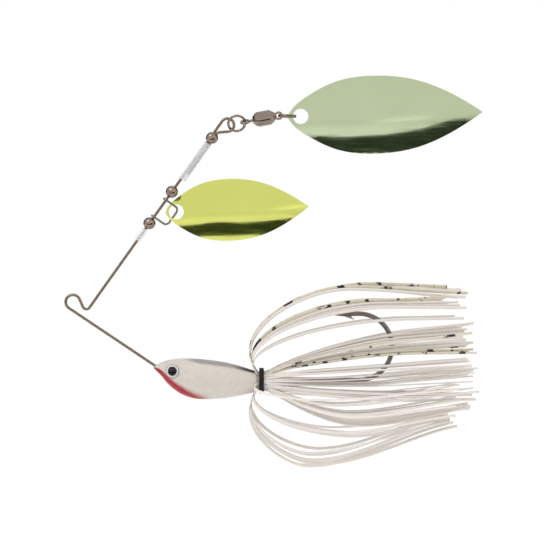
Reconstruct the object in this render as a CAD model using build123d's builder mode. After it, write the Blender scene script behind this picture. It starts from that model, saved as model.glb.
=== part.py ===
"""Double willow spinnerbait: a bent wire frame, a moulded head with its hook and skirt, and two hung blades.

Millimetres.  The origin is the middle of the open line tie, +X runs back toward the hook point, +Z is up,
and the wire, the hook and the head's middle plane all lie in Y = 0.
"""
from math import cos, radians, sin, sqrt, tan
import os

from build123d import *

os.makedirs("parts", exist_ok=True)

# ---------------------------------------------------------------- driving dimensions
WIRE_D = 0.9  # stainless arm wire
RUN_CLEARANCE = 0.05  # radial play of anything that turns on the wire

LOWER_ARM_ANGLE = 146.2  # heading of the wire as it leaves the head for the line tie
UPPER_ARM_ANGLE = 54.55  # heading of the upper arm
TIE_R = 2.3  # wire centreline radius round the line tie
TIE_DROP = 2.66  # straight run between the tie's arc and its return bend
RETURN_R = 1.23  # return bend into the upper arm

HEAD_BACK_X = 57.2
SKIRT_AXIS_Z = -25.1  # centre line of the neck, band and skirt
NECK_R = 2.2
NECK_END_X = 63.5

HOOK_WIRE_D = 1.5
SHANK_Z = -24.9
HOOK_EYE_X = 37.0
HOOK_BEND_X = 91.2
HOOK_BEND_R = 10.6

LOOP_R = 2.1  # wire loop at the end of the upper arm, centreline
TAIL_OFFSET = 0.92  # the doubled tail lies this far from the arm's own centreline

# stations along the upper arm, measured from the end of the return bend
STOP_TUBE_AT = (26.2, 30.7)
LOWER_BEAD_AT = 32.96
CLEVIS_AT = (35.45, 42.1)
MIDDLE_BEAD_AT = 45.3
SLEEVE_AT = (50.3, 64.5)
TOP_BEAD_AT = 66.7
LOOP_AT = 72.9

BEAD_D = 3.9
CHAIN_ANGLE = 10.5  # the ring and swivel trail from the wire loop at this angle
LARGE_BLADE_ANGLE = 1.4
SMALL_BLADE_ANGLE = 2.3

WIRE_R = WIRE_D / 2
PAIR_BORE_D = TAIL_OFFSET + WIRE_D + 2 * RUN_CLEARANCE  # a bore that takes both wires side by side


def side_point(origin, heading, along, right=0.0, y=0.0):
    """A point 'along' a heading in the X-Z plane from origin, and 'right' of it."""
    c, s = cos(radians(heading)), sin(radians(heading))
    return Vector(origin.X + along * c + right * s, y, origin.Z + along * s - right * c)


def heading_vector(heading):
    """The unit direction of a heading in the X-Z plane."""
    return Vector(cos(radians(heading)), 0, sin(radians(heading)))


def axis_plane(origin, direction):
    """A plane whose normal is the given direction and whose x axis is the part's Y."""
    return Plane(origin=origin, x_dir=(0, 1, 0), z_dir=direction)


def finish(piece, name):
    """Label a finished piece and write it to its own file."""
    piece.part.label = name
    export_step(piece.part, f"parts/{name}.step")


# ---------------------------------------------------------------- wire frame
# One wire: a lock leg through the hook's eye, the lower arm, the open line tie, the upper arm, the end loop,
# and a tail that doubles back beside the arm inside the sleeve.
tie_start_angle = LOWER_ARM_ANGLE + 90
tie_start = Vector(TIE_R * cos(radians(tie_start_angle)), 0, TIE_R * sin(radians(tie_start_angle)))
LOCK_LEG_TOP_Z = -22.9
LOCK_LEG_END_Z = -27.6
lower_run = (tie_start.Z - LOCK_LEG_TOP_Z) / sin(radians(LOWER_ARM_ANGLE))
lock_corner = side_point(tie_start, LOWER_ARM_ANGLE, -lower_run)
LOCK_BEND_R = 1.3
NECK_TURN = 50  # how far past half a circle the end loop closes
NECK_BEND_R = 0.85
NECK_RUN = 2.87
TAIL_END_GAP = 6.5  # the tail stops this far short of the sleeve's full length
TIE_TURN = 212.5
RETURN_TURN = TIE_TURN + UPPER_ARM_ANGLE - LOWER_ARM_ANGLE

with BuildPart() as wire_frame:
    with BuildLine(Plane.XZ) as wire_path:
        lower_arm = FilletPolyline(
            (HOOK_EYE_X, LOCK_LEG_END_Z),
            (HOOK_EYE_X, LOCK_LEG_TOP_Z),
            (lock_corner.X, lock_corner.Z),
            (tie_start.X, tie_start.Z),
            radius=LOCK_BEND_R,
        )
        tie_arc = JernArc(lower_arm @ 1, lower_arm % 1, TIE_R, -TIE_TURN)
        tie_drop = PolarLine(tie_arc @ 1, TIE_DROP, direction=tie_arc % 1)
        return_bend = JernArc(tie_drop @ 1, tie_drop % 1, RETURN_R, RETURN_TURN)
        upper_arm = PolarLine(return_bend @ 1, LOOP_AT, direction=return_bend % 1)
        end_loop = JernArc(upper_arm @ 1, upper_arm % 1, LOOP_R, -180 - NECK_TURN)
        neck_run = PolarLine(end_loop @ 1, NECK_RUN, direction=end_loop % 1)
        neck_bend = JernArc(neck_run @ 1, neck_run % 1, NECK_BEND_R, NECK_TURN)
        tail = PolarLine(neck_bend @ 1, LOOP_AT - SLEEVE_AT[0] - TAIL_END_GAP, direction=neck_bend % 1)
    with BuildSketch(Plane(origin=wire_path.line @ 0, z_dir=wire_path.line % 0)):
        Circle(WIRE_R)
    sweep()
finish(wire_frame, "wire_frame")

arm_start = Vector((return_bend @ 1).X, 0, (return_bend @ 1).Z)
arm_direction = heading_vector(UPPER_ARM_ANGLE)


def on_arm(station, right=0.0, y=0.0):
    """A point at a station along the upper arm, set off to its right or out of the wire's plane."""
    return side_point(arm_start, UPPER_ARM_ANGLE, station, right, y)


# ---------------------------------------------------------------- hook
HOOK_EYE_R = 1.55
HOOK_POINT_RUN = 9.4
POINT_TAPER = 4.6
HOOK_TURN = 181.5
HOOK_EYE_WIRE_D = 1.2
POINT_TIP_R = 0.08
BARB_PROFILE = ((85.6, -4.2), (89.9, -5.7), (88.3, -4.1))  # x, z: the barb's lip, its root behind, its root ahead
BARB_HALF_T = 0.3
hook_r = HOOK_WIRE_D / 2

with BuildPart() as hook_eye:
    with Locations((HOOK_EYE_X, 0, SHANK_Z)):
        Torus(HOOK_EYE_R, HOOK_EYE_WIRE_D / 2)

with BuildPart() as hook:
    with BuildLine(Plane.XZ) as hook_path:
        shank = Line((HOOK_EYE_X + HOOK_EYE_R, SHANK_Z), (HOOK_BEND_X, SHANK_Z))
        bend = JernArc(shank @ 1, shank % 1, HOOK_BEND_R, HOOK_TURN)
        point_leg = PolarLine(bend @ 1, HOOK_POINT_RUN - POINT_TAPER, direction=bend % 1)
    with BuildSketch(Plane(origin=hook_path.line @ 0, z_dir=hook_path.line % 0)):
        Circle(hook_r)
    sweep()
    leg_end = hook_path.line @ 1
    leg_direction = hook_path.line % 1
    with BuildSketch(Plane(origin=leg_end, z_dir=leg_direction)):
        Circle(hook_r)
    with BuildSketch(Plane(origin=leg_end + leg_direction * POINT_TAPER, z_dir=leg_direction)):
        Circle(POINT_TIP_R)
    loft()
    with BuildSketch(Plane.XZ):
        with BuildLine():
            Polyline(*BARB_PROFILE, close=True)
        make_face()
    extrude(amount=BARB_HALF_T, both=True)
    add(hook_eye.part)
finish(hook, "hook")

# ---------------------------------------------------------------- head
# A minnow-shaped casting over the hook's eye and the wire's lock leg, with a neck for the skirt behind it.
HEAD_STATIONS = (  # x, top, bottom, width
    (26.2, -20.1, -21.7, 1.7),
    (29.6, -18.7, -25.3, 4.6),
    (35.0, -18.0, -29.6, 7.7),
    (42.0, -18.4, -31.0, 8.9),
    (50.0, -19.6, -30.5, 7.9),
    (HEAD_BACK_X, -21.6, -28.9, 5.8),
)
EYE_X = 31.9
EYE_Z = -21.9
EYE_R = 2.2
EYE_FIT = 0.05
SOCKET_CUT = 4.0
EYE_FACE_Y = 3.05  # the socket floor's distance from the middle plane
EYE_CANT = 14.0  # the sockets face a little forward


def eye_plane(side, lift=0.0):
    """The plane of an eye socket's floor on one side of the head (-1 right, +1 left), lifted along its normal."""
    out = Vector(-sin(radians(EYE_CANT)), side * cos(radians(EYE_CANT)), 0)
    return Plane(origin=Vector(EYE_X, side * EYE_FACE_Y, EYE_Z) + out * lift, z_dir=out)


with BuildPart() as lead_head:
    for x, top, bottom, width in HEAD_STATIONS:
        with BuildSketch(Plane.YZ.offset(x)):
            with Locations((0, (top + bottom) / 2)):
                Ellipse(width / 2, (top - bottom) / 2)
    loft()
    with BuildSketch(Plane(origin=(HEAD_BACK_X, 0, SKIRT_AXIS_Z), z_dir=(1, 0, 0))):
        Circle(NECK_R)
    extrude(amount=NECK_END_X - HEAD_BACK_X)
    add(wire_frame.part, mode=Mode.SUBTRACT)
    add(hook.part, mode=Mode.SUBTRACT)
    for side in (-1, 1):
        with BuildSketch(eye_plane(side)):
            Circle(EYE_R + EYE_FIT)
        extrude(amount=SOCKET_CUT, mode=Mode.SUBTRACT)
finish(lead_head, "lead_head")

# ---------------------------------------------------------------- eyes: a foil disc under a clear dome
FOIL_T = 0.2
DOME_RISE = 0.8
dome_r = (EYE_R ** 2 + DOME_RISE ** 2) / (2 * DOME_RISE)
for side, side_name in ((-1, "right"), (1, "left")):
    with BuildPart() as eye_foil:
        with BuildSketch(eye_plane(side)):
            Circle(EYE_R)
        extrude(amount=FOIL_T)
    finish(eye_foil, f"{side_name}_eye_foil")
    with BuildPart(eye_plane(side, FOIL_T)) as eye_dome:
        with Locations((0, 0, DOME_RISE - dome_r)):
            Sphere(dome_r)
        split(bisect_by=eye_plane(side, FOIL_T), keep=Keep.TOP)
    finish(eye_dome, f"{side_name}_eye_dome")

# ---------------------------------------------------------------- skirt
# Each strand is one rubber ribbon laid through the band: its rear half trails back from the band, and its
# front half turns out ahead of the band, flares, and sweeps back.  The strands of a layer share one route,
# stretched by its own flare, in planes spread round the neck; the skirt is parted above the hook's gap.
STRAND_W = 0.8
STRAND_T = 0.5
BAND_X = (59.4, 60.9)
BAND_R = (3.4, 4.15)
BAND_EDGE_R = 0.3
INNER_R = 2.5
OUTER_R = 3.08
PARTING = 19.0  # half the angle left open at the top, from straight up
LAYERS = (  # name, strands, radius under the band, turn-out x, front reach, rear reach
    ("skirt_inner_strands", 14, INNER_R, 57.95, 1.0, 0.30),
    ("skirt_outer_strands", 18, OUTER_R, 58.75, 0.72, 0.52),
)
FLARE_TOP = 33.0  # how far the top strands stand from the skirt's axis
FLARE_BOTTOM = 27.6
FLARE_SIDE = 19.0
STAGGER = 0.1  # every other strand of a layer reaches this much less
FRONT_TAIL_X = 124.0  # tails of the halves that turn out ahead of the band
REAR_TAIL_X = 121.0  # tails of the halves that trail back from it
SIDE_TAIL_CUT = 5.0  # the strands at the sides end this much sooner
REACH_X = 98.0  # where the strands lie furthest from the axis
SPREAD_X = 74.0
RISE_X = 61.0
TURN_LIP = 1.4  # the turn-out stands this far off the layer's radius
TURN_WIDTH = 1.2


def flare(angle):
    """The outermost reach of a strand at an angle from straight up: an oval, deeper above than at the sides."""
    upright = cos(radians(angle))
    tall = FLARE_TOP if upright > 0 else FLARE_BOTTOM
    return sqrt((tall * upright) ** 2 + (FLARE_SIDE * sin(radians(angle))) ** 2)


def lift(angle, top, bottom):
    """A share of the flare: 'top' on the strands that stand straight up, 'bottom' on those straight down."""
    upness = (1 + cos(radians(angle))) / 2
    return bottom + (top - bottom) * upness


def soft_radii(points):
    """The largest easy arc at each corner: 0.45 of the shorter run over the tangent of half the turn."""
    radii = []
    for before, corner, after in zip(points, points[1:], points[2:]):
        first = Vector(*corner) - Vector(*before)
        second = Vector(*after) - Vector(*corner)
        half_turn = radians(first.get_angle(second)) / 2
        radii.append(0.45 * min(first.length, second.length) / tan(half_turn))
    return radii


def strand(angle, neck, turn_x, front, rear):
    """One ribbon as a sweep along straight runs joined by arcs, in the radial plane at the angle."""
    spoke = Plane(
        origin=(0, 0, SKIRT_AXIS_Z),
        x_dir=(1, 0, 0),
        z_dir=(0, cos(radians(angle)), -sin(radians(angle))),
    )
    outer = flare(angle) * front
    inner = flare(angle) * rear
    cut = SIDE_TAIL_CUT * sin(radians(angle)) ** 2
    points = [
        (FRONT_TAIL_X - cut, outer * lift(angle, 0.95, 0.50)),
        (REACH_X, outer * lift(angle, 1.00, 0.75)),
        (SPREAD_X, outer * lift(angle, 0.86, 0.99)),
        (RISE_X, outer * lift(angle, 0.58, 0.74)),
        (turn_x - TURN_WIDTH, neck + TURN_LIP + 1 + 0.2 * outer),
        (turn_x, neck + TURN_LIP),
        (turn_x, neck),
        (NECK_END_X, neck),
        (SPREAD_X, inner * lift(angle, 0.66, 0.76)),
        (REACH_X, inner * lift(angle, 1.00, 0.80)),
        (REAR_TAIL_X - cut, inner * lift(angle, 1.05, 0.60)),
    ]
    with BuildPart() as ribbon:
        with BuildLine(spoke) as route:
            FilletPolyline(*points, radius=soft_radii(points))
        with BuildSketch(Plane(origin=route.line @ 0, x_dir=spoke.z_dir, z_dir=route.line % 0)):
            Rectangle(STRAND_W, STRAND_T)
        sweep()
    return ribbon.part


for name, count, neck, turn_x, front, rear in LAYERS:
    step = (360 - 2 * PARTING) / (count - 1)
    strands = []
    for index in range(count):
        share = 1 - STAGGER * (index % 2)
        strands.append(strand(PARTING + index * step, neck, turn_x, front * share, rear * share))
    with BuildPart() as layer:
        add(strands)
    finish(layer, name)

with BuildPart() as skirt_band:
    with BuildSketch(Plane(origin=(BAND_X[0], 0, SKIRT_AXIS_Z), z_dir=(1, 0, 0))):
        Circle(BAND_R[1])
        Circle(BAND_R[0], mode=Mode.SUBTRACT)
    extrude(amount=BAND_X[1] - BAND_X[0])
    fillet(skirt_band.edges().filter_by(GeomType.CIRCLE), BAND_EDGE_R)
finish(skirt_band, "skirt_band")

# ---------------------------------------------------------------- beads and tubes on the upper arm
STOP_TUBE_OD = 2.2
SLEEVE_OD = 2.4
SINGLE_BORE_D = WIRE_D + 2 * RUN_CLEARANCE
PAIR_RIGHT = TAIL_OFFSET / 2


def bead(name, station, bore, right=0.0):
    """A bored metal bead at a station along the arm."""
    with BuildPart(axis_plane(on_arm(station, right), arm_direction)) as piece:
        Sphere(BEAD_D / 2)
        Cylinder(bore / 2, BEAD_D, mode=Mode.SUBTRACT)
    finish(piece, name)


def tube(name, span, outside, bore, right=0.0):
    """A clear plastic tube over a span of the arm."""
    with BuildPart() as piece:
        with BuildSketch(axis_plane(on_arm(span[0], right), arm_direction)):
            Circle(outside / 2)
            Circle(bore / 2, mode=Mode.SUBTRACT)
        extrude(amount=span[1] - span[0])
    finish(piece, name)


tube("lower_stop_tube", STOP_TUBE_AT, STOP_TUBE_OD, WIRE_D)
bead("lower_bead", LOWER_BEAD_AT, SINGLE_BORE_D)
bead("middle_bead", MIDDLE_BEAD_AT, SINGLE_BORE_D)
tube("upper_sleeve", SLEEVE_AT, SLEEVE_OD, PAIR_BORE_D, PAIR_RIGHT)
bead("top_bead", TOP_BEAD_AT, PAIR_BORE_D, PAIR_RIGHT)

# ---------------------------------------------------------------- clevis
# A wire stirrup that turns on the arm; its bow leans out of the arm's plane so that the blade's hole can
# hang on it with the blade flat in that plane.
CLEVIS_LEAN = 42.0
CLEVIS_DEPTH = 6.45
CLEVIS_WIRE_D = 0.7
CLEVIS_CORNER_R = 1.6
CLEVIS_EYE_D = 2.1
CLEVIS_EYE_T = 0.7
CLEVIS_LEG_START = 0.8  # the bow's legs start inside its two eyes, this far from the arm's axis
CLEVIS_BORE_RUN = 2.0  # the bore is cut from this far outside the eyes
clevis_out = (
    Vector(sin(radians(UPPER_ARM_ANGLE)), 0, -cos(radians(UPPER_ARM_ANGLE))) * cos(radians(CLEVIS_LEAN))
    + Vector(0, 1, 0) * sin(radians(CLEVIS_LEAN))
)
clevis_plane = Plane(origin=arm_start, x_dir=arm_direction, z_dir=arm_direction.cross(clevis_out))
with BuildPart() as clevis:
    with BuildLine(clevis_plane) as bow:
        FilletPolyline(
            (CLEVIS_AT[0], CLEVIS_LEG_START),
            (CLEVIS_AT[0], CLEVIS_DEPTH),
            (CLEVIS_AT[1], CLEVIS_DEPTH),
            (CLEVIS_AT[1], CLEVIS_LEG_START),
            radius=CLEVIS_CORNER_R,
        )
    with BuildSketch(Plane(origin=bow.line @ 0, z_dir=bow.line % 0)):
        Circle(CLEVIS_WIRE_D / 2)
    sweep()
    for station in CLEVIS_AT:
        with BuildSketch(axis_plane(on_arm(station - CLEVIS_EYE_T / 2), arm_direction)):
            Circle(CLEVIS_EYE_D / 2)
        extrude(amount=CLEVIS_EYE_T)
    with BuildSketch(axis_plane(on_arm(CLEVIS_AT[0] - CLEVIS_BORE_RUN), arm_direction)):
        Circle(SINGLE_BORE_D / 2)
    extrude(amount=CLEVIS_AT[1] - CLEVIS_AT[0] + 2 * CLEVIS_BORE_RUN, mode=Mode.SUBTRACT)
finish(clevis, "clevis")

# ---------------------------------------------------------------- blades
BLADE_T = 0.5
SHELL_MARGIN = 1.0  # the cupped shell runs this far past both ends of the outline
OUTLINE_DEPTH = 0.6  # share of the cup radius the outline is cut through, each way
WILLOW_LEAF = (  # fraction of the length, fraction of the half width
    (0.02, 0.17),
    (0.10, 0.50),
    (0.25, 0.87),
    (0.45, 1.00),
    (0.65, 0.88),
    (0.85, 0.47),
)


def blade(name, hole_centre, angle, length, width, eye_gap, hole_d, cup_r, bow):
    """A willow-leaf blade hung by its hole, cupped across and along, its hollow side turned to +Y."""
    c, s = cos(radians(angle)), sin(radians(angle))
    flat = Plane(origin=hole_centre, x_dir=(c, 0, s), z_dir=(0, -1, 0))
    edge_on = Plane(origin=hole_centre, x_dir=(c, 0, s), z_dir=(s, 0, -c))
    start, end = -eye_gap - SHELL_MARGIN, length - eye_gap + SHELL_MARGIN
    half_run = (end - start) / 2
    dip = bow * (1 - ((eye_gap + SHELL_MARGIN - half_run) / half_run) ** 2)
    with BuildPart() as piece:
        with BuildSketch(edge_on):
            with BuildLine():
                low = -BLADE_T / 2 - dip
                inside = ThreePointArc((start, low), ((start + end) / 2, low + bow), (end, low))
                outside = ThreePointArc(
                    (start, low + BLADE_T), ((start + end) / 2, low + bow + BLADE_T), (end, low + BLADE_T)
                )
                Line(inside @ 0, outside @ 0)
                Line(inside @ 1, outside @ 1)
            make_face()
        revolve(axis=Axis(hole_centre + Vector(0, cup_r, 0), Vector(c, 0, s)))
        with BuildSketch(flat):
            with BuildLine():
                upper = Spline(
                    (-eye_gap, 0),
                    *[(x * length - eye_gap, h * width / 2) for x, h in WILLOW_LEAF],
                    (length - eye_gap, 0),
                )
                mirror(upper, about=Plane.XZ)
            make_face()
        extrude(amount=cup_r * OUTLINE_DEPTH, both=True, mode=Mode.INTERSECT)
        with BuildSketch(flat):
            Circle(hole_d / 2)
        extrude(amount=cup_r * OUTLINE_DEPTH, both=True, mode=Mode.SUBTRACT)
    finish(piece, name)


# where the clevis's upper leg passes through the small blade, and the blade's hole beside it
SMALL_CROSSING_RIGHT = 3.7
SMALL_HOLE_OFF = (1.2, 1.0)  # the hole's centre from that crossing: back along the arm, and out from it
small_blade_y = SMALL_CROSSING_RIGHT * tan(radians(CLEVIS_LEAN))
small_hole = on_arm(CLEVIS_AT[1] - SMALL_HOLE_OFF[0], SMALL_CROSSING_RIGHT + SMALL_HOLE_OFF[1], small_blade_y)
blade(
    "small_blade",
    small_hole,
    SMALL_BLADE_ANGLE,
    length=46.0,
    width=19.8,
    eye_gap=3.5,
    hole_d=4.8,
    cup_r=27.0,
    bow=1.6,
)

# ---------------------------------------------------------------- swivel chain
# Distances along the chain run from the middle of the wire's end loop.
RING_WIRE_D = 0.8
RING_R = 2.7
RING_TILT = 30.0
RING_AT = 3.0
STEM_EYE_R = 1.15
STEM_SHANK_D = 0.9
STEM_FLANGE_AT = (9.95, 10.5)
STEM_FLANGE_R = 1.6
BALL_D = 0.9
BALL_PITCH_R = 1.1
BALL_COUNT = 6
BALL_AT = 9.47
BARREL_AT = (9.0, 15.7)
BARREL_R = 2.4
BARREL_BORE_R = 1.75
BARREL_BORE_END = 13.2
BARREL_PROFILE = (  # distance along the chain, outer radius
    (BARREL_AT[0], 1.95),
    (10.1, BARREL_R),
    (13.7, BARREL_R),
    (15.0, 1.55),
    (BARREL_AT[1], 0.95),
)
BUSH_AT = (8.2, 9.0)
BUSH_R = (1.0, 1.9)  # outer radius at its two ends
BARREL_EYE_AT = 16.6
BARREL_EYE_R = 1.35
BARREL_EYE_HOLE_R = 0.72
SPLIT_RING_R = 2.72
SPLIT_WIRE = 0.45
COIL_OFF = 0.48  # each of its two coils lies this many wire sizes off the middle
SPLIT_RING_ANGLE = -2.5

loop_centre = on_arm(LOOP_AT, LOOP_R)
chain_direction = heading_vector(CHAIN_ANGLE)


def on_chain(distance):
    """A point on the chain's straight axis."""
    return side_point(loop_centre, CHAIN_ANGLE, distance)


ring_normal = (
    Vector(0, 1, 0) * cos(radians(RING_TILT))
    + Vector(-sin(radians(CHAIN_ANGLE)), 0, cos(radians(CHAIN_ANGLE))) * sin(radians(RING_TILT))
)
with BuildPart(Plane(origin=on_chain(RING_AT), x_dir=chain_direction, z_dir=ring_normal)) as link_ring:
    Torus(RING_R, RING_WIRE_D / 2)
finish(link_ring, "link_ring")

stem_eye_at = RING_AT + RING_R
stem_eye_normal = chain_direction.cross(ring_normal)
shank_start = stem_eye_at + STEM_EYE_R
with BuildPart(Plane(origin=on_chain(stem_eye_at), x_dir=chain_direction, z_dir=stem_eye_normal)) as stem_eye:
    Torus(STEM_EYE_R, RING_WIRE_D / 2)

with BuildPart() as swivel_stem:
    add(stem_eye.part)
    with BuildSketch(axis_plane(on_chain(shank_start), chain_direction)):
        Circle(STEM_SHANK_D / 2)
    extrude(amount=STEM_FLANGE_AT[1] - shank_start)
    with BuildSketch(axis_plane(on_chain(STEM_FLANGE_AT[0]), chain_direction)):
        Circle(STEM_FLANGE_R)
    extrude(amount=STEM_FLANGE_AT[1] - STEM_FLANGE_AT[0])
finish(swivel_stem, "swivel_stem")

with BuildPart(axis_plane(on_chain(BALL_AT), chain_direction)) as swivel_balls:
    with PolarLocations(BALL_PITCH_R, BALL_COUNT):
        Sphere(BALL_D / 2)
finish(swivel_balls, "swivel_balls")

chain_side = Plane(origin=loop_centre, x_dir=chain_direction, z_dir=(0, -1, 0))
with BuildPart() as swivel_bush:
    with BuildSketch(chain_side):
        Polygon(
            (BUSH_AT[0], STEM_SHANK_D / 2 + RUN_CLEARANCE),
            (BUSH_AT[0], BUSH_R[0]),
            (BUSH_AT[1], BUSH_R[1]),
            (BUSH_AT[1], STEM_SHANK_D / 2 + RUN_CLEARANCE),
            align=None,
        )
    revolve(axis=Axis(loop_centre, chain_direction))
finish(swivel_bush, "swivel_bush")

with BuildPart() as swivel_barrel:
    with BuildSketch(chain_side):
        Polygon(
            (BARREL_AT[0], BARREL_BORE_R),
            *BARREL_PROFILE,
            (BARREL_AT[1], 0),
            (BARREL_BORE_END, 0),
            (BARREL_BORE_END, BARREL_BORE_R),
            align=None,
        )
    revolve(axis=Axis(loop_centre, chain_direction))
    with BuildSketch(chain_side):
        with Locations((BARREL_EYE_AT, 0)):
            Circle(BARREL_EYE_R)
    extrude(amount=BARREL_EYE_HOLE_R, both=True)
    with BuildSketch(chain_side):
        with Locations((BARREL_EYE_AT, 0)):
            Circle(BARREL_EYE_HOLE_R)
    extrude(amount=BARREL_R, both=True, mode=Mode.SUBTRACT)
finish(swivel_barrel, "swivel_barrel")

# the split ring lies flat across the view: its plane holds Y, its left side runs through the barrel's eye
barrel_eye = on_chain(BARREL_EYE_AT)
ring_direction = heading_vector(SPLIT_RING_ANGLE)
split_centre = barrel_eye + ring_direction * SPLIT_RING_R
with BuildPart() as split_ring:
    with BuildSketch(Plane(origin=split_centre, x_dir=ring_direction, z_dir=(0, -1, 0))):
        for coil in (-1, 1):
            with Locations((SPLIT_RING_R, coil * SPLIT_WIRE * COIL_OFF)):
                Circle(SPLIT_WIRE / 2)
    revolve(axis=Axis(split_centre, Vector(-ring_direction.Z, 0, ring_direction.X)))
finish(split_ring, "split_ring")

LARGE_HOLE_D = 4.9
LARGE_HOLE_GAP = 1.6  # from the split ring's far side to the hole's centre
large_hole = split_centre + ring_direction * SPLIT_RING_R + heading_vector(LARGE_BLADE_ANGLE) * LARGE_HOLE_GAP
blade(
    "large_blade",
    large_hole,
    LARGE_BLADE_ANGLE,
    length=62.3,
    width=24.9,
    eye_gap=4.2,
    hole_d=LARGE_HOLE_D,
    cup_r=32.0,
    bow=2.2,
)
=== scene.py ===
# %% [markdown]
# # A double willow spinnerbait
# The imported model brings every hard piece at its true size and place.  This lesson keeps the pieces whose
# shape is already right, gives each of them a worked-out finish, and builds the rest as surfaces computed
# with numpy: the painted head, the two clear tubes and the silicone skirt.

# %% Load the frame
import math

import bpy
import numpy as np
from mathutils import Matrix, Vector


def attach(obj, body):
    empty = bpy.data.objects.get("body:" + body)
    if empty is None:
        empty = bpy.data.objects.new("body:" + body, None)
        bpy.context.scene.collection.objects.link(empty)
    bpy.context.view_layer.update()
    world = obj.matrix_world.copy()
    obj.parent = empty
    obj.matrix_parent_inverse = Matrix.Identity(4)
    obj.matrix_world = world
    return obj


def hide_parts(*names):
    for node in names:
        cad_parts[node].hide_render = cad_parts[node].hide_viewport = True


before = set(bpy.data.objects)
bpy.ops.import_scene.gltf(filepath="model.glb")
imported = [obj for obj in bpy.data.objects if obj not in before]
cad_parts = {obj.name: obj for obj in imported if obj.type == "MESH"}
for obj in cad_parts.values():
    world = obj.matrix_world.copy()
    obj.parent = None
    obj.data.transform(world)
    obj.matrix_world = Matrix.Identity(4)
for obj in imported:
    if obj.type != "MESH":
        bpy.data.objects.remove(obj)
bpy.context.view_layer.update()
MM = 0.001
rng = np.random.default_rng(7)
print("nodes:", len(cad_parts))

# %% [markdown]
# ## The camera
# The bait is seen square from the side, from -Y.  An orthographic camera would show no perspective at all,
# but a long lens from far away is closer to how such a bait is really seen, and it keeps the wire, the hook
# and the blades nearly free of perspective.

# %% Camera
VIEW_CENTRE = np.array([63.5, 0.0, 9.6]) * MM
VIEW_WIDTH = 173.5 * MM
SENSOR = 36.0
LENS = 160.0
camera_data = bpy.data.cameras.new("studio_camera")
camera_data.lens = LENS
camera_data.sensor_width = SENSOR
camera_data.clip_start = 0.05
camera_distance = VIEW_WIDTH * LENS / SENSOR
camera = bpy.data.objects.new("studio_camera", camera_data)
camera.location = VIEW_CENTRE - np.array([0.0, camera_distance, 0.0])
camera.rotation_euler = (math.radians(90), 0, 0)
bpy.context.scene.collection.objects.link(camera)
bpy.context.scene.camera = camera
bpy.context.scene.view_settings.view_transform = "Standard"
print("camera stands", round(camera_distance, 3), "m away")

# %% [markdown]
# ## Mesh helpers
# Every new surface is a grid of points worked out as whole arrays and handed to a mesh in one call.  The
# same shapes could be made by hand with modifiers, but arrays are quick, give the same result each run and
# leave each formula in plain sight.


# %% Mesh helpers
def link(obj):
    """Put an object in the scene and hand it back."""
    bpy.context.scene.collection.objects.link(obj)
    return obj


def mesh_piece(name, points, faces, smooth=True):
    """A mesh object at the origin from arrays of points (metres) and faces."""
    mesh = bpy.data.meshes.new(name)
    mesh.from_pydata(np.asarray(points).tolist(), [], [list(map(int, face)) for face in faces])
    mesh.polygons.foreach_set("use_smooth", np.full(len(mesh.polygons), smooth))
    mesh.update()
    return link(bpy.data.objects.new(name, mesh))


def grid_faces(rows, columns, wrap_columns=False, first=0):
    """Quads of a rows x columns grid of points; the last column joins the first where it wraps."""
    r = np.arange(rows - 1)[:, None]
    c = np.arange(columns if wrap_columns else columns - 1)[None, :]
    n = (c + 1) % columns
    quads = np.stack([r * columns + c, r * columns + n, (r + 1) * columns + n, (r + 1) * columns + c], -1)
    return quads.reshape(-1, 4) + first


def smooth_curve(x_known, y_known, x):
    """A smooth curve through chosen points: each span is a cubic, and its end slopes are the averages of the
    slopes on either side."""
    x_known, y_known = np.asarray(x_known, float), np.asarray(y_known, float)
    slope = np.gradient(y_known, x_known)
    i = np.clip(np.searchsorted(x_known, x) - 1, 0, len(x_known) - 2)
    span = x_known[i + 1] - x_known[i]
    t = (x - x_known[i]) / span
    return (
        (2 * t**3 - 3 * t**2 + 1) * y_known[i]
        + (t**3 - 2 * t**2 + t) * span * slope[i]
        + (3 * t**2 - 2 * t**3) * y_known[i + 1]
        + (t**3 - t**2) * span * slope[i + 1]
    )


def smooth_step(low, high, value):
    """0 below low, 1 above high, and an even S between them."""
    t = np.clip((value - low) / (high - low), 0, 1)
    return t * t * (3 - 2 * t)


def paint_attribute(piece, name, values):
    """Store one number per point, for a material to read."""
    layer = piece.data.attributes.new(name, "FLOAT", "POINT")
    layer.data.foreach_set("value", np.asarray(values, np.float32).ravel())


# %% [markdown]
# ## The studio
# Mirror blades show nothing but what stands round them.  A surrounding picture could light them, but a few
# plain sheets are easier to place and need no image.  A dark card lies low in front, a dark wall stands
# behind and soft boxes hang above, so the cupped metal has a pale field, a dark band and a bright rim.  The
# card, the wall and a small glow for the blade tips show only in reflections.

# %% Studio floor, cards and lights
FLOOR_Z = -100 * MM
SWEEP_NEAR_Y, SWEEP_START_Y, SWEEP_R, SWEEP_TOP_Z, SWEEP_HALF_X = -3.0, 0.9, 0.6, 3.0, 3.0  # metres
CARD_NEAR_Y, CARD_Y = -180 * MM, -300 * MM
WALL_Y, WALL_TOP_Z, WALL_HALF_X = 0.75, 1.1, 2.5


def plain_material(name, colour, roughness=0.9, glow=0.0):
    """A matt material for the studio; with a glow it gives its own light."""
    material = bpy.data.materials.new(name)
    material.use_nodes = True
    shader = material.node_tree.nodes["Principled BSDF"]
    shader.inputs["Base Color"].default_value = (*colour, 1)
    shader.inputs["Roughness"].default_value = roughness
    shader.inputs["Specular IOR Level"].default_value = 0.0
    shader.inputs["Emission Color"].default_value = (*colour, 1)
    shader.inputs["Emission Strength"].default_value = glow
    return material


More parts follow.
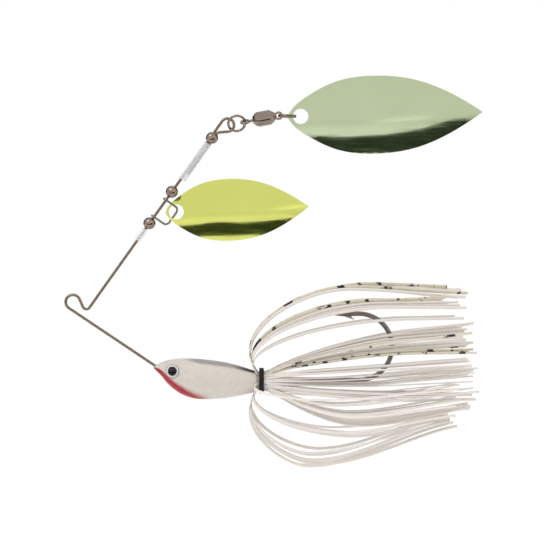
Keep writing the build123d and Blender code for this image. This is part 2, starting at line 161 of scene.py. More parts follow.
def studio_sheet(name, profile, x, material):
    """A sheet whose side outline (y, z) may change along x: profile has one outline per x."""
    profile = np.asarray(profile, float)
    across = np.broadcast_to(np.asarray(x)[:, None, None], (*profile.shape[:2], 1))
    points = np.concatenate([across, profile], -1)
    sheet = mesh_piece(name, points.reshape(-1, 3), grid_faces(*profile.shape[:2]))
    sheet.data.materials.append(material)
    return sheet


def only_in_reflections(sheet):
    """Hide a sheet from everything but reflections."""
    sheet.visible_camera = False
    sheet.visible_shadow = False
    sheet.visible_diffuse = False
    sheet.visible_transmission = False


# the floor runs back and turns up in a quarter circle, so that no edge shows behind the bait
sweep_turn = np.linspace(0, np.pi / 2, 16)
sweep_outline = [(SWEEP_NEAR_Y, FLOOR_Z)]
sweep_outline += [
    (SWEEP_START_Y + SWEEP_R * math.sin(t), FLOOR_Z + SWEEP_R * (1 - math.cos(t))) for t in sweep_turn
]
sweep_outline += [(SWEEP_START_Y + SWEEP_R, SWEEP_TOP_Z)]
sweep_x = np.linspace(-SWEEP_HALF_X, SWEEP_HALF_X, 4)
pale_floor = plain_material("pale_floor", (0.96, 0.96, 0.96))
studio_sheet("studio_floor", [sweep_outline] * len(sweep_x), sweep_x, pale_floor)

# the card's top edge rises and falls along x (mm), which shapes the dark band on each blade
card_x = np.linspace(-400, 500, 60)
card_top = smooth_curve(
    [-400, -60, -25, 19, 57, 92, 125, 160, 190, 300, 500],
    [-80, -80, -76, -52, -62, -56, -46, -18, 22, 60, 60],
    card_x,
) * MM
dark_outline = [[(CARD_NEAR_Y, FLOOR_Z + MM), (CARD_Y, FLOOR_Z + MM), (CARD_Y, top)] for top in card_top]
dark_card = plain_material("dark_card", (0.035, 0.05, 0.03))
only_in_reflections(studio_sheet("low_dark_card", dark_outline, card_x * MM, dark_card))

# a faint glow for the blade tips, fading to nothing at its edges
glow_rows, glow_columns = 24, 16
GLOW_Y, GLOW_ALPHA = -330 * MM, 0.62
glow_x = np.linspace(90, 190, glow_rows) * MM
glow_height = np.linspace(-26, 26, glow_columns) * MM
glow_outline = [[(GLOW_Y, z + h) for h in glow_height] for z in np.linspace(0.024, 0.062, glow_rows)]
soft_glow = plain_material("soft_glow", (0.1, 0.1, 0.1), glow=14.0)
tip_glow = studio_sheet("tip_glow", glow_outline, glow_x, soft_glow)
fade_along = np.sin(np.linspace(0, np.pi, glow_rows)) ** 1.5
fade_across = np.cos(glow_height / glow_height[-1] * np.pi / 2) ** 2
paint_attribute(tip_glow, "fade", GLOW_ALPHA * np.outer(fade_along, fade_across))
glow_tree = soft_glow.node_tree
fade_reader = glow_tree.nodes.new("ShaderNodeAttribute")
fade_reader.attribute_name = "fade"
glow_tree.links.new(fade_reader.outputs["Fac"], glow_tree.nodes["Principled BSDF"].inputs["Alpha"])
only_in_reflections(tip_glow)

# the dark wall draws the dark outline of every round metal piece
wall_outline = [[(WALL_Y, FLOOR_Z), (WALL_Y, WALL_TOP_Z)]] * 2
wall_card = plain_material("wall_card", (0.03, 0.025, 0.022))
only_in_reflections(studio_sheet("dark_wall", wall_outline, [-WALL_HALF_X, WALL_HALF_X], wall_card))


def soft_box(name, place, target, size, power, colour=(1, 1, 1)):
    """A square area light at a place, turned toward a target."""
    data = bpy.data.lights.new(name, "AREA")
    data.shape = "SQUARE"
    data.size = size
    data.energy = power
    data.color = colour
    lamp = link(bpy.data.objects.new(name, data))
    lamp.location = place
    direction = np.array(target) - np.array(place)
    lamp.rotation_euler = Vector(direction).to_track_quat("-Z", "Y").to_euler()
    return lamp


LIT_POINT = (0.06, 0, 0)
soft_box("key_box", (-0.35, -0.55, 0.75), LIT_POINT, 0.35, 2.2)
soft_box("fill_box", (0.60, -0.70, 0.35), LIT_POINT, 0.4, 0.4)
soft_box("back_box", (0.10, 0.70, 0.60), LIT_POINT, 0.5, 1.0)

world = bpy.data.worlds.new("pale_studio")
bpy.context.scene.world = world
world.use_nodes = True
backdrop = world.node_tree.nodes["Background"]
backdrop.inputs["Color"].default_value = (1, 1, 1, 1)
backdrop.inputs["Strength"].default_value = 1.0
print("studio ready")


# %% [markdown]
# ## Finishes
# Each finish is a small node graph on the Principled shader.  Painted pictures wrapped on the pieces could
# do the same, but noise at the scale of the real grain needs no unwrapping and stays sharp from near by.  It
# breaks up colour and roughness, and a light bump gives the brushed or cast texture.


# %% Material helpers
def finish_material(name, colour, metallic=0.0, roughness=0.4):
    """A named Principled material; returns it with its node tree and shader."""
    material = bpy.data.materials.new(name)
    material.use_nodes = True
    tree = material.node_tree
    shader = tree.nodes["Principled BSDF"]
    shader.inputs["Base Color"].default_value = (*colour, 1)
    shader.inputs["Metallic"].default_value = metallic
    shader.inputs["Roughness"].default_value = roughness
    return material, tree, shader


def object_noise(tree, scale, detail=4.0, stretch=(1, 1, 1), turn=0.0):
    """A noise texture on Object coordinates, stretched along an axis after a turn about Y (degrees)."""
    coordinates = tree.nodes.new("ShaderNodeTexCoord")
    mapping = tree.nodes.new("ShaderNodeMapping")
    mapping.inputs["Scale"].default_value = stretch
    mapping.inputs["Rotation"].default_value = (0, math.radians(turn), 0)
    noise = tree.nodes.new("ShaderNodeTexNoise")
    noise.inputs["Scale"].default_value = scale
    noise.inputs["Detail"].default_value = detail
    tree.links.new(coordinates.outputs["Object"], mapping.inputs["Vector"])
    tree.links.new(mapping.outputs["Vector"], noise.inputs["Vector"])
    return noise.outputs["Fac"]


def ramp(tree, value, stops):
    """A colour ramp over a value; stops are (position, grey or colour)."""
    node = tree.nodes.new("ShaderNodeValToRGB")
    elements = node.color_ramp.elements
    while len(elements) < len(stops):
        elements.new(0.5)
    for element, (position, colour) in zip(elements, stops):
        element.position = position
        element.color = (colour, colour, colour, 1) if isinstance(colour, (int, float)) else (*colour, 1)
    tree.links.new(value, node.inputs["Fac"])
    return node.outputs["Color"]


# the Mix node has one set of sockets per kind of data; these are the places of those for colours
MIX_SHARE, MIX_FIRST, MIX_SECOND, MIX_RESULT = 0, 6, 7, 2


def mix_colour(tree, share, first, second):
    """first where share is 0, second where it is 1; either may be a colour or a socket."""
    node = tree.nodes.new("ShaderNodeMix")
    node.data_type = "RGBA"
    for socket, value in ((MIX_FIRST, first), (MIX_SECOND, second)):
        if isinstance(value, tuple):
            node.inputs[socket].default_value = (*value, 1)
        else:
            tree.links.new(value, node.inputs[socket])
    tree.links.new(share, node.inputs[MIX_SHARE])
    return node.outputs[MIX_RESULT]


def add_bump(tree, shader, height, strength, distance):
    """A bump from a height value into the shader's normal."""
    bump = tree.nodes.new("ShaderNodeBump")
    bump.inputs["Strength"].default_value = strength
    bump.inputs["Distance"].default_value = distance
    tree.links.new(height, bump.inputs["Height"])
    tree.links.new(bump.outputs["Normal"], shader.inputs["Normal"])


def dress(node, material):
    """Give a kept node a finish."""
    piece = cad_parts[node]
    if not piece.material_slots:
        piece.data.materials.append(material)
    for slot in piece.material_slots:
        slot.material = material


# %% [markdown]
# ## Metals
# The arm is bare drawn stainless wire, the hook is black nickel, and the beads, rings and swivel have a
# smoky nickel plate.  All three are the same kind of finish with other numbers: a dark metal whose noise is
# drawn out along the wire, because drawing leaves fine lines that way.


# %% Metals
def drawn_metal(name, colour, roughness, grain, turn):
    """Metal with fine drawn lines: noise stretched along the wire breaks up colour, gloss and surface."""
    material, tree, shader = finish_material(name, colour, 1.0, roughness)
    lines = object_noise(tree, grain, 3, (0.15, 1, 1), turn)
    dark, bright = (tuple(c * share for c in colour) for share in (0.72, 1.15))
    tint = ramp(tree, lines, [(0.3, dark), (0.7, bright)])
    tree.links.new(tint, shader.inputs["Base Color"])
    gloss = ramp(tree, lines, [(0.25, roughness * 0.7), (0.75, min(1, roughness * 1.5))])
    tree.links.new(gloss, shader.inputs["Roughness"])
    add_bump(tree, shader, lines, 0.15, 0.02 * MM)
    return material


wire_metal = drawn_metal("drawn_stainless", (0.24, 0.185, 0.14), roughness=0.24, grain=2500, turn=-54.5)
hook_metal = drawn_metal("black_nickel_hook", (0.21, 0.178, 0.165), roughness=0.13, grain=2200, turn=0)
plated_metal = drawn_metal("smoked_nickel", (0.29, 0.23, 0.195), roughness=0.12, grain=1800, turn=30)
dress("wire_frame", wire_metal)
dress("hook", hook_metal)
PLATED_NODES = (
    "lower_bead", "middle_bead", "top_bead", "clevis", "link_ring", "swivel_stem", "swivel_balls",
    "swivel_bush", "swivel_barrel", "split_ring",
)
for node in PLATED_NODES:
    dress(node, plated_metal)
print("metals:", wire_metal.name, hook_metal.name, plated_metal.name)

# %% [markdown]
# ## Blades
# A willow blade is thin brass, stamped to a shallow cup and plated to a mirror.  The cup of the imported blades
# is already right, so only the plate is made here.  A flat tint would look like plastic, so a cloudy polish
# varies the tint, and hair-fine scratches vary the gloss and break up the reflection.


# %% Blades
def mirror_plate(name, colour, deep):
    """Polished plate: a tinted mirror, a cloudy polish and hair-fine scratches across it."""
    material, tree, shader = finish_material(name, colour, 1.0, 0.09)
    cloud = object_noise(tree, 60, 5)
    scratch = object_noise(tree, 1500, 2, (0.06, 1, 1), -20)
    tint = mix_colour(tree, cloud, deep, colour)
    tree.links.new(tint, shader.inputs["Base Color"])
    gloss = ramp(tree, scratch, [(0.35, 0.07), (0.75, 0.17)])
    tree.links.new(gloss, shader.inputs["Roughness"])
    add_bump(tree, shader, scratch, 0.05, 0.01 * MM)
    return material


dress("small_blade", mirror_plate("chartreuse_plate", (0.66, 0.69, 0.185), (0.60, 0.62, 0.15)))
dress("large_blade", mirror_plate("pale_green_plate", (0.52, 0.585, 0.385), (0.45, 0.51, 0.325)))
print("blades: small_blade, large_blade")

# %% [markdown]
# ## The head
# A real head is cast in lead, dipped in pearl powder paint and given a clear coat, then a red throat is
# added with a spray gun.  Here a dark band along the top is painted on as well; it is a painted reflection
# of dark surroundings.  It could be sculpted, or the imported solid could be kept, but the soft edges of the
# paint need a fine, even grid of points.  So it is one surface: oval sections carried from nose to neck, with
# a round socket pressed in for each eye.

# %% Head shape
HEAD_X = np.array([26.0, 27.6, 30.0, 33.5, 38.0, 43.0, 48.0, 53.0, 57.4])
HEAD_TOP = np.array([-20.2, -19.5, -18.6, -18.05, -18.0, -18.4, -19.1, -20.3, -21.7])
HEAD_BOTTOM = np.array([-21.5, -22.9, -25.8, -28.7, -30.6, -31.0, -30.7, -29.9, -28.9])
HEAD_WIDTH = np.array([1.3, 3.0, 5.0, 7.1, 8.5, 8.9, 8.4, 7.2, 5.8])
NECK_AXIS_Z, NECK_R, NECK_END_X = -25.1, 2.2, 63.5
EYE = np.array([31.9, 3.05, -21.9])
EYE_CANT = math.radians(14)
EYE_R = 2.2
LIP_HEIGHT, SOCKET_DEPTH = 0.22, 0.03


def head_surface(rows=150, columns=112):
    """Oval sections from nose to neck.  The section's centre and half sizes follow smooth curves along X.
    Its outline is a rounded oval, y = half width * sin a and z = half height * cos a, fuller below."""
    body_x = np.linspace(HEAD_X[0], HEAD_X[-1], rows - 14)
    along = np.concatenate([body_x, np.linspace(57.6, 58.9, 8), np.linspace(59.3, NECK_END_X, 6)])
    top = smooth_curve(HEAD_X, HEAD_TOP, np.minimum(along, 58.4))
    bottom = smooth_curve(HEAD_X, HEAD_BOTTOM, np.minimum(along, 58.4))
    width = smooth_curve(HEAD_X, HEAD_WIDTH, np.minimum(along, 58.4))
    to_neck = smooth_step(58.3, 59.2, along)
    centre = ((top + bottom) / 2) * (1 - to_neck) + NECK_AXIS_Z * to_neck
    half_z = (top - bottom) / 2 * (1 - to_neck) + NECK_R * to_neck
    half_y = width / 2 * (1 - to_neck) + NECK_R * to_neck
    nose = np.sqrt(np.clip((along - 25.75) / 1.2, 0, 1))
    half_z, half_y = half_z * (0.55 + 0.45 * nose), half_y * (0.55 + 0.45 * nose)
    angle = np.linspace(0, 2 * np.pi, columns, endpoint=False)[None, :]
    y = half_y[:, None] * np.sin(angle) * (1 - 0.06 * np.cos(angle) * (1 - to_neck[:, None]))
    z = centre[:, None] + half_z[:, None] * np.cos(angle)
    x = np.broadcast_to(along[:, None], y.shape)
    return np.stack([x, y, z], -1)


def press_sockets(points):
    """Push the points near each eye's axis down to a flat socket floor, with a soft raised lip round it."""
    for side in (-1, 1):
        centre = EYE * (1, side, 1)
        out = np.array([-math.sin(EYE_CANT), side * math.cos(EYE_CANT), 0])
        offset = points - centre
        height = offset @ out
        away = np.linalg.norm(offset - height[..., None] * out, axis=-1)
        near = (height > -1.5) & (away < EYE_R + 1.6) & (points[..., 1] * side > 0)
        inside = 1 - smooth_step(EYE_R + 0.02, EYE_R + 0.32, away)
        lip = LIP_HEIGHT * np.exp(-(((away - EYE_R - 0.45) / 0.28) ** 2))
        change = np.where(near, inside * (-SOCKET_DEPTH - height) + lip * (1 - inside), 0)
        points = points + change[..., None] * out
    return points


head_points = press_sockets(head_surface())
rows, columns = head_points.shape[:2]
head_flat = head_points.reshape(-1, 3)
nose_tip = head_points[0].mean(0) - (0.25, 0, 0)
neck_end = head_points[-1].mean(0)
pole = rows * columns
ring = np.arange(columns)
nose_fan = [[pole, int(n), int(c)] for c, n in zip(ring, (ring + 1) % columns)]
last = pole - columns
neck_fan = [[pole + 1, last + int(c), last + int(n)] for c, n in zip(ring, (ring + 1) % columns)]
head = mesh_piece(
    "painted_head",
    np.vstack([head_flat, nose_tip, neck_end]) * MM,
    list(grid_faces(rows, columns, True)[:, ::-1]) + nose_fan + neck_fan,
)
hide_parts("lead_head")
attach(head, "frame")
print("head:", len(head.data.polygons), "faces")

# %% [markdown]
# ## Head paint
# The red throat is added with a spray gun on the real head after the pearl coat, so it has a soft, slightly
# speckled edge.  The dark band along the top and its darker end by the neck are painted reflection of dark
# surroundings, with the same soft edge.  Each could be a painted picture, but a mask worked out for every
# point follows the form.  The material reads the masks and breaks the edges of the throat and the top band
# with fine noise.

# %% Head paint
head_all = np.vstack([head_flat, nose_tip, neck_end])
hx, hz = head_all[:, 0], head_all[:, 2]
span_top = smooth_curve(HEAD_X, HEAD_TOP, np.clip(hx, 26.0, 57.4))
span_bottom = smooth_curve(HEAD_X, HEAD_BOTTOM, np.clip(hx, 26.0, 57.4))
up_share = (hz - span_bottom) / (span_top - span_bottom)
throat_reach = smooth_curve(
    [26, 28, 31, 35, 39, 44, 48], [0.62, 0.52, 0.36, 0.27, 0.17, 0.06, -0.1], np.clip(hx, 26, 48)
)
throat = 1 - smooth_step(throat_reach - 0.16, throat_reach + 0.06, up_share)
throat = throat * (1 - smooth_step(40.0, 47.0, hx))
# back mask: a dark band along the top of the head, a painted reflection of dark surroundings
back_edge = smooth_curve([34, 38, 45, 52, 58], [1.02, 0.93, 0.89, 0.90, 0.90], np.clip(hx, 34, 58))
back = smooth_step(back_edge - 0.05, back_edge + 0.05, up_share) * smooth_step(33.0, 40.0, hx)
# mask of the darker rear end of that band by the neck: painted reflection as well
dark_end_reflection = smooth_step(50.0, 55.5, hx) * smooth_step(0.84, 0.94, up_share)
paint_attribute(head, "throat", throat)
paint_attribute(head, "back", back)
paint_attribute(head, "dark_end_reflection", dark_end_reflection)


def read_attribute(tree, name):
    """A point attribute as a value."""
    node = tree.nodes.new("ShaderNodeAttribute")
    node.attribute_name = name
    return node.outputs["Fac"]


def spray_and_reflection_edge(tree, mask, scale):
    """Break a mask's edge with fine speckle noise: mask plus noise, pushed back through a short ramp.  It
    edges the red throat spray and the painted reflection along the top.
    """
    noise = object_noise(tree, scale, 3)
    blend = tree.nodes.new("ShaderNodeMath")
    blend.operation = "MULTIPLY_ADD"
    tree.links.new(noise, blend.inputs[0])
    blend.inputs[1].default_value = 0.30
    tree.links.new(mask, blend.inputs[2])
    return ramp(tree, blend.outputs[0], [(0.15, 0.0), (1.0, 1.0)])


head_paint, tree, shader = finish_material("pearl_lead_paint", (0.60, 0.55, 0.50), 0.0, 0.34)
flakes = object_noise(tree, 2600, 2)
mottle = object_noise(tree, 140, 4)
cloudy = ramp(tree, mottle, [(0.35, 0.0), (0.7, 1.0)])
pearl = mix_colour(tree, cloudy, (0.545, 0.505, 0.455), (0.585, 0.55, 0.50))
pearl = mix_colour(tree, ramp(tree, flakes, [(0.55, 0.0), (0.75, 0.25)]), pearl, (0.72, 0.70, 0.67))
# painted reflection: the top band greys the pearl along the top of the head
top_reflection_paint = mix_colour(tree, spray_and_reflection_edge(tree, read_attribute(tree, "back"), 700), pearl, (0.27, 0.25, 0.245))
# painted reflection: the rear of the top band darkens nearly to black by the neck
with_dark_end_reflection = mix_colour(tree, read_attribute(tree, "dark_end_reflection"), top_reflection_paint, (0.035, 0.022, 0.018))
throat_spray = spray_and_reflection_edge(tree, read_attribute(tree, "throat"), 900)
painted = mix_colour(tree, throat_spray, with_dark_end_reflection, (0.33, 0.003, 0.016))
tree.links.new(painted, shader.inputs["Base Color"])
shader.inputs["Coat Weight"].default_value = 0.35
shader.inputs["Specular IOR Level"].default_value = 0.25
shader.inputs["Coat Roughness"].default_value = 0.08
add_bump(tree, shader, mottle, 0.08, 0.05 * MM)
head.data.materials.append(head_paint)
print("head paint:", head_paint.name)

# %% [markdown]
# ## Eyes
# Each eye is a printed foil disc under a domed drop of clear resin.  The rings could be separate discs, but
# on the real foil they are print, so here they are a radial pattern about the eye's own axis.  Object
# coordinates are moved to the eye and turned with its cant.  The foil has a faint glow of its own, because
# little of the light that a real dome gathers gets through a rendered one.


# %% Eyes
def eye_foil_material(side):
    """Black pupil, silver iris and dark rim as a ramp over the distance from the eye's axis."""
    name = "printed_foil_left" if side > 0 else "printed_foil_right"
    material, tree, shader = finish_material(name, (0.7, 0.7, 0.7), 0.6, 0.25)
    coordinates = tree.nodes.new("ShaderNodeTexCoord")
    mapping = tree.nodes.new("ShaderNodeMapping")
    mapping.vector_type = "TEXTURE"
    mapping.inputs["Location"].default_value = tuple(EYE * (1, side, 1) * MM)
    mapping.inputs["Rotation"].default_value = (0, 0, side * EYE_CANT)
    mapping.inputs["Scale"].default_value = (EYE_R * MM, 1e3, EYE_R * MM)
    tree.links.new(coordinates.outputs["Object"], mapping.inputs["Vector"])
    length = tree.nodes.new("ShaderNodeVectorMath")
    length.operation = "LENGTH"
    tree.links.new(mapping.outputs["Vector"], length.inputs[0])
    rings = ramp(tree, length.outputs["Value"], [
        (0.0, (0.004, 0.004, 0.005)), (0.62, (0.006, 0.006, 0.007)), (0.67, (0.58, 0.58, 0.57)),
        (0.88, (0.74, 0.74, 0.72)), (0.97, (0.20, 0.19, 0.19)),
    ])
    tree.links.new(rings, shader.inputs["Base Color"])
    shine = ramp(tree, length.outputs["Value"], [(0.62, 0.0), (0.68, 0.3)])
    tree.links.new(shine, shader.inputs["Metallic"])
    shader.inputs["Specular IOR Level"].default_value = 0.1
    tree.links.new(rings, shader.inputs["Emission Color"])
    shader.inputs["Emission Strength"].default_value = 0.35
    return material


dome, tree, shader = finish_material("clear_dome", (1, 1, 1), 0.0, 0.02)
shader.inputs["Transmission Weight"].default_value = 1.0
shader.inputs["IOR"].default_value = 1.30
for side, side_name in ((1, "left"), (-1, "right")):
    dress(f"{side_name}_eye_foil", eye_foil_material(side))
    dress(f"{side_name}_eye_dome", dome)
print("eyes: left, right")

# %% [markdown]
# ## Band and tubes
# The band is matt black rubber.  The two tubes are clear vinyl, slightly clouded, with a soft gloss.  True
# refraction in a wall this thin shows mostly as speckle, so the vinyl is a pale coat that is partly
# see-through instead, and the wire shows inside it.

# %% Band and tubes
ARM_START = np.array([5.303, 0.0, -1.730])
ARM_HEADING = math.radians(54.55)
ARM_ALONG = np.array([math.cos(ARM_HEADING), 0, math.sin(ARM_HEADING)])
ARM_RIGHT = np.array([math.sin(ARM_HEADING), 0, -math.cos(ARM_HEADING)])
OUT_OF_PLANE = np.array([0, 1.0, 0])
TUBE_SIDES = 96
# name, node it replaces, span along the arm, outside radius, bore radius, shift off the wire (mm)
TUBES = (
    ("stop_tube", "lower_stop_tube", (26.2, 30.7), 1.1, 0.47, 0.0),
    ("arm_sleeve", "upper_sleeve", (50.3, 64.5), 1.2, 0.96, 0.46),
)


def clear_tube(name, node, span, outside_r, bore_r, right):
    """A tube as one closed skin: a rounded wall outline (along, radius) carried round the arm's axis."""
    start, end = span
    soft = 0.12
    middle = (start + end) / 2
    wall = np.array([
        (start + soft, outside_r), (middle, outside_r), (end - soft, outside_r),
        (end, outside_r - soft), (end, bore_r + soft / 2),
        (end - soft / 2, bore_r), (middle, bore_r), (start + soft / 2, bore_r),
        (start, bore_r + soft / 2), (start, outside_r - soft),
    ])
    turn = np.linspace(0, 2 * np.pi, TUBE_SIDES, endpoint=False)[None, :, None]
    spoke = np.cos(turn) * ARM_RIGHT + np.sin(turn) * OUT_OF_PLANE
    points = ARM_START + ARM_RIGHT * right + wall[:, None, :1] * ARM_ALONG + wall[:, None, 1:] * spoke
    faces = grid_faces(len(wall) + 1, TUBE_SIDES, True) % (len(wall) * TUBE_SIDES)
    piece = mesh_piece(name, points.reshape(-1, 3) * MM, faces)
    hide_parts(node)
    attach(piece, "frame")
    return piece


vinyl, tree, shader = finish_material("clear_vinyl", (0.84, 0.82, 0.86), 0.0, 0.2)
cloud = object_noise(tree, 400, 3)
clouded = mix_colour(tree, cloud, (0.80, 0.78, 0.82), (0.88, 0.865, 0.895))
tree.links.new(clouded, shader.inputs["Base Color"])
shader.inputs["Alpha"].default_value = 0.36
shader.inputs["Coat Weight"].default_value = 0.5
shader.inputs["Coat Roughness"].default_value = 0.08
for tube in TUBES:
    clear_tube(*tube).data.materials.append(vinyl)

band_rubber, tree, shader = finish_material("band_rubber", (0.010, 0.007, 0.006), 0.0, 0.5)
shader.inputs["Specular IOR Level"].default_value = 0.2
grain = object_noise(tree, 1500, 3)
tree.links.new(ramp(tree, grain, [(0.3, 0.38), (0.8, 0.62)]), shader.inputs["Roughness"])
add_bump(tree, shader, grain, 0.3, 0.03 * MM)
dress("skirt_band", band_rubber)
print("tubes:", ", ".join(tube[0] for tube in TUBES), "and the band")

# %% [markdown]
# ## The skirt
# The skirt is a bundle of square-cut silicone ribbons held under the band.  Half of each ribbon turns out
# ahead of the band, bows over and trails back, and the other half trails straight back.  Hair or a cloth
# simulation could be used, but these ribbons are few, springy and wide enough to see one by one, so each is
# its own strip.  They run together in locks of one to three ribbons.  Each lock is a smooth curve from the
# neck through its crest to its tail, and the ribbons fan out from it a little.

# %% Skirt locks
# kind (1 turns out ahead of the band, -1 trails back), crest x, y, z and tail x, y, z in mm, number of
# ribbons on each side, how many of them are barred
LOCKS = (
    (1, 94, 5.0, 6.0, 119.6, 4.0, 5.3, 1, 1),
    (1, 90, 4.0, 5.0, 123.1, 5.0, 4.0, 1, 0),
    (1, 88, 7.0, 4.6, 123.8, 7.5, 2.1, 2, 1),
    (1, 96, 9.0, 0.9, 118.0, 9.5, 1.2, 1, 1),
    (1, 100, 10.0, -0.6, 121.5, 11.0, -0.4, 2, 0),
    (1, 100, 12.0, -1.7, 124.5, 12.5, -1.5, 1, 0),
    (1, 110, 14.5, -5.1, 123.4, 14.5, -5.0, 1, 0),
    (1, 75, 3.0, -52.0, 120.6, 4.0, -38.9, 1, 0),
    (1, 78, 6.0, -51.1, 121, 7.0, -38.4, 1, 0),
    (1, 77, 9.0, -49.4, 119.2, 9.0, -37.6, 1, 0),
    (1, 78, 11.0, -47.5, 119.2, 10.5, -37.0, 1, 0),
    (1, 90, 9.0, -42.4, 120, 9.0, -36.6, 1, 0),
    (1, 84, 12.5, -41.0, 121, 12.5, -35.4, 1, 0),
    (1, 80, 15.0, -30.5, 124, 14.0, -27.0, 1, 0),
    (-1, 97, 5.0, -10.9, 125.7, 8.0, -6.8, 1, 0),
    (-1, 95, 7.0, -12.2, 125, 9.0, -9.6, 3, 0),
    (-1, 92, 9.0, -14.4, 126.2, 11.0, -9.4, 1, 1),
    (-1, 98, 7.5, -16.4, 128, 9.5, -15.2, 2, 2),
    (-1, 96, 5.5, -15.2, 127, 7.0, -13.0, 2, 0),
    (-1, 80, 6.5, -22.0, 126.6, 9.0, -18.8, 2, 0),
    (-1, 94, 3.0, -25.9, 127.1, 5.0, -22.3, 2, 0),
    (-1, 92, 4.0, -26.6, 127.6, 6.0, -24.4, 1, 0),
    (-1, 84, 4.6, -24.5, 126.5, 6.5, -21.4, 2, 0),
    (-1, 96, 5.5, -30.3, 122.9, 8.0, -26.0, 1, 0),
    (-1, 96, 7.0, -29.6, 127, 8.0, -29.5, 3, 0),
    (-1, 84, 8.0, -32.4, 128.6, 10.0, -28.0, 1, 0),
    (-1, 88, 9.0, -35.5, 123.9, 11.0, -31.4, 2, 0),
    (-1, 90, 7.0, -38.6, 126.6, 8.5, -32.9, 2, 0),
    (-1, 88, 4.0, -37.0, 125, 5.0, -33.8, 1, 0),
)
AHEAD_X, BEHIND_X, UNDER_BAND_X = 58.7, 62.0, 60.2
LAYER_R = (2.5, 3.05)
RIBBON_W, RIBBON_T, RIBBON_BEVEL = 1.02, 0.36, 0.1
STEPS = 72
print("locks:", len(LOCKS))

# %% [markdown]
# ## A ribbon's path and section
# A real ribbon leaves the band stiffly and then sags in one long bow.  A cubic that keeps its direction at
# both ends bends in the same way, so each path is three of them, joined smoothly.  A square section with
# its corners cut is carried along the path and turned a little, so that the flat side catches the light now
# and then.


# %% Ribbon path and section
def hermite(p0, m0, p1, m1, count):
    """Points of the cubic that leaves p0 along m0 and reaches p1 along m1."""
    t = np.linspace(0, 1, count)[:, None]
    return (
        (2 * t**3 - 3 * t**2 + 1) * p0 + (t**3 - 2 * t**2 + t) * m0
        + (3 * t**2 - 2 * t**3) * p1 + (t**3 - t**2) * m1
    )


def ribbon_route(kind, crest, tail, neck_r):
    """A ribbon's middle line: under the band, out at the neck, over its crest and on to its tail."""
    axis = np.array([0, 0, NECK_AXIS_Z])
    spoke = (crest - axis) * (0, 1, 1)
    spoke /= np.linalg.norm(spoke)
    held = axis + spoke * neck_r + (UNDER_BAND_X, 0, 0)
    along = np.array([1.0, 0, 0])
    if kind > 0:
        turn = axis + spoke * (neck_r + 0.7) + (AHEAD_X, 0, 0)
        rise = np.linalg.norm((crest - turn) * (0, 1, 1))
        first = hermite(held, -along * 2.4, turn, spoke * 1.5 - along * 1.1, 8)
        outward = spoke * 1.4 * rise - along * 1.05 * rise
        second = hermite(turn, outward, crest, along * 1.6 * (crest[0] - AHEAD_X), 40)
        third = hermite(crest, along * (tail[0] - crest[0]), tail, (tail - crest) * (1, 0.7, 0.7), 30)
    else:
        turn = axis + spoke * (neck_r + 0.15) + (BEHIND_X, 0, 0)
        slope = (tail - turn) * (1, 0.9, 0.9) * 0.45
        first = hermite(held, along * 2.2, turn, along * 2.2 + spoke * 0.3, 6)
        second = hermite(turn, (crest - turn) * (1, 1.5, 1.5), crest, slope, 40)
        third = hermite(crest, slope, tail, (tail - crest), 30)
    line = np.vstack([first[:-1], second[:-1], third])
    walked = np.concatenate([[0], np.cumsum(np.linalg.norm(np.diff(line, axis=0), axis=1))])
    even = np.linspace(0, walked[-1], STEPS)
    return np.stack([np.interp(even, walked, line[:, k]) for k in range(3)], 1), walked[-1]


def ribbon_mesh(line, twist, width):
    """A square-edged strip carried along a line: its width starts square to the neck's spoke and turns by
    twist (start, end) radians along the way.  Returns its points, its quads, its two end caps and the share
    of its length at each point."""
    tangent = np.gradient(line, axis=0)
    tangent /= np.linalg.norm(tangent, axis=1)[:, None]
    spoke = line - np.array([0, 0, NECK_AXIS_Z])
    spoke[:, 0] = 0
    spoke /= np.linalg.norm(spoke, axis=1)[:, None]
    side = np.cross(tangent, spoke)
    side /= np.linalg.norm(side, axis=1)[:, None]
    up = np.cross(side, tangent)
    share = np.linspace(0, 1, len(line))
    turn = (twist[0] + (twist[1] - twist[0]) * share) * smooth_step(0.02, 0.25, share)
    wide = side * np.cos(turn)[:, None] + up * np.sin(turn)[:, None]
    thick = up * np.cos(turn)[:, None] - side * np.sin(turn)[:, None]
    a, b, r = width / 2, RIBBON_T / 2, RIBBON_BEVEL
    outline = np.array([
        (a, b - r), (a - r, b), (-a + r, b), (-a, b - r),
        (-a, -b + r), (-a + r, -b), (a - r, -b), (a, -b + r),
    ])
    across = wide[:, None, :] * outline[None, :, :1] + thick[:, None, :] * outline[None, :, 1:]
    points = line[:, None, :] + across
    count = len(outline)
    quads = grid_faces(len(line), count, True)
    last = (len(line) - 1) * count
    caps = [list(range(count))[::-1], [last + k for k in range(count)]]
    return points.reshape(-1, 3), quads, caps, np.repeat(share, count)


# %% [markdown]
# ## Build the ribbons
# No two ribbons of a real skirt lie alike.  Small random shifts of crest, tail, twist and width, from one
# seeded source, keep the locks from looking copied and give the same skirt each run.

# %% Build the ribbons
skirt = {"pearl": [], "barred": []}
BAR_REPEAT = 40  # each ribbon starts at its own place in the pattern of bars
for kind, cx, cy, cz, tx, ty, tz, ribbons, barred in LOCKS:
    for side in (-1, 1):
        for index in range(ribbons):
            fan = index - (ribbons - 1) / 2
            drop = 0.78 * fan
            shift = rng.normal(0, 1, 6) * (0.8, 0.2, 0.18, 1.1, 0.3, 0.3)
            crest = np.array([cx, side * (cy + 0.35 * fan), cz - drop]) + shift[:3]
            tail = np.array([tx, side * (ty + 0.8 * fan), tz - drop * 1.5]) + shift[3:]
            line, length = ribbon_route(kind, crest, tail, LAYER_R[0] if kind > 0 else LAYER_R[1])
            twist = np.array([1.25, 1.45]) * rng.choice((-1, 1)) + rng.uniform(-0.3, 0.2, 2)
            strip = ribbon_mesh(line, twist, RIBBON_W * rng.uniform(0.8, 1.08))
            start = rng.uniform(0, BAR_REPEAT)
            skirt["barred" if index < barred else "pearl"].append((strip, length, start))
print("ribbons:", len(skirt["pearl"]), "pearl and", len(skirt["barred"]), "barred")


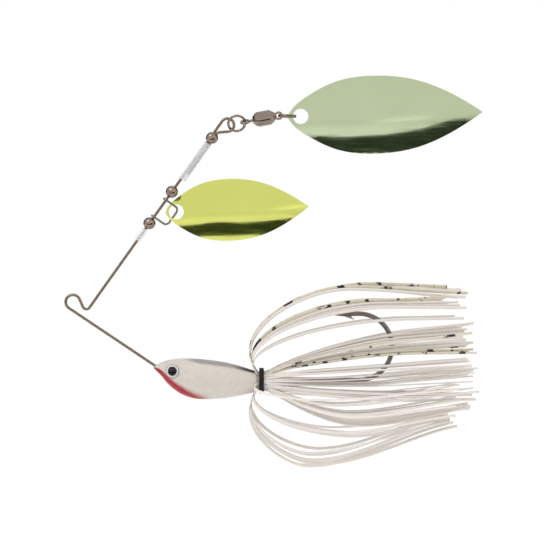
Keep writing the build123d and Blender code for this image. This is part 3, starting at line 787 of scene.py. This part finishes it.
def join_ribbons(name, ribbons):
    """One mesh piece from many ribbons, with the distance along each ribbon (mm) kept as an attribute."""
    points, faces, along, tint = [], [], [], []
    first = 0
    for (ribbon_points, quads, caps, share), length, start in ribbons:
        points.append(ribbon_points)
        faces += list(quads + first) + [[v + first for v in cap] for cap in caps]
        along.append(share * length + start * 10)
        tint.append(np.full(len(share), start / BAR_REPEAT))
        first += len(ribbon_points)
    piece = mesh_piece(name, np.vstack(points) * MM, faces)
    paint_attribute(piece, "along", np.concatenate(along))
    paint_attribute(piece, "tint", np.concatenate(tint))
    return piece


# %% [markdown]
# ## Skirt finishes
# Silicone lets light in and scatters it, so the ribbons are pale and soft where they overlap.  The pearl
# ones hold fine dust.  The others are yellowish, with dark printed bars: noise read along the ribbon's own
# length gives bars that go across it.


# %% Skirt finishes
def silicone(name, light, shade):
    """Soft silicone: light passes through and scatters in it, pearl dust varies its colour."""
    material, tree, shader = finish_material(name, light, 0.0, 0.34)
    dust = object_noise(tree, 500, 3)
    tone = mix_colour(tree, read_attribute(tree, "tint"), shade, light)
    tone = mix_colour(tree, ramp(tree, dust, [(0.45, 0.0), (0.8, 0.3)]), tone, (0.74, 0.72, 0.69))
    shader.inputs["Subsurface Weight"].default_value = 0.8
    shader.inputs["Subsurface Radius"].default_value = (0.0012, 0.0011, 0.0010)
    shader.inputs["IOR"].default_value = 1.41
    add_bump(tree, shader, dust, 0.12, 0.02 * MM)
    return material, tree, shader, tone


pearl_silicone, tree, shader, tone = silicone("pearl_silicone", (0.77, 0.715, 0.675), (0.675, 0.635, 0.59))
tree.links.new(tone, shader.inputs["Base Color"])

barred_silicone, tree, shader, tone = silicone("barred_silicone", (0.69, 0.64, 0.52), (0.60, 0.555, 0.44))
stretch = tree.nodes.new("ShaderNodeCombineXYZ")
tree.links.new(read_attribute(tree, "along"), stretch.inputs["X"])
bars = tree.nodes.new("ShaderNodeTexNoise")
bars.inputs["Scale"].default_value = 0.16
bars.inputs["Detail"].default_value = 1.0
tree.links.new(stretch.outputs["Vector"], bars.inputs["Vector"])
ragged = object_noise(tree, 900, 2)
flecks = tree.nodes.new("ShaderNodeMath")
flecks.operation = "MULTIPLY_ADD"
tree.links.new(ragged, flecks.inputs[0])
flecks.inputs[1].default_value = 0.28
tree.links.new(bars.outputs["Fac"], flecks.inputs[2])
bar_mask = ramp(tree, flecks.outputs[0], [(0.72, 0.0), (0.745, 1.0)])
tree.links.new(mix_colour(tree, bar_mask, tone, (0.025, 0.016, 0.014)), shader.inputs["Base Color"])

pearl_ribbons = join_ribbons("pearl_ribbons", skirt["pearl"])
pearl_ribbons.data.materials.append(pearl_silicone)
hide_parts("skirt_outer_strands")
barred_ribbons = join_ribbons("barred_ribbons", skirt["barred"])
barred_ribbons.data.materials.append(barred_silicone)
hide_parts("skirt_inner_strands")
for piece in (pearl_ribbons, barred_ribbons):
    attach(piece, "frame")
    print(piece.name, len(piece.data.polygons), "faces")
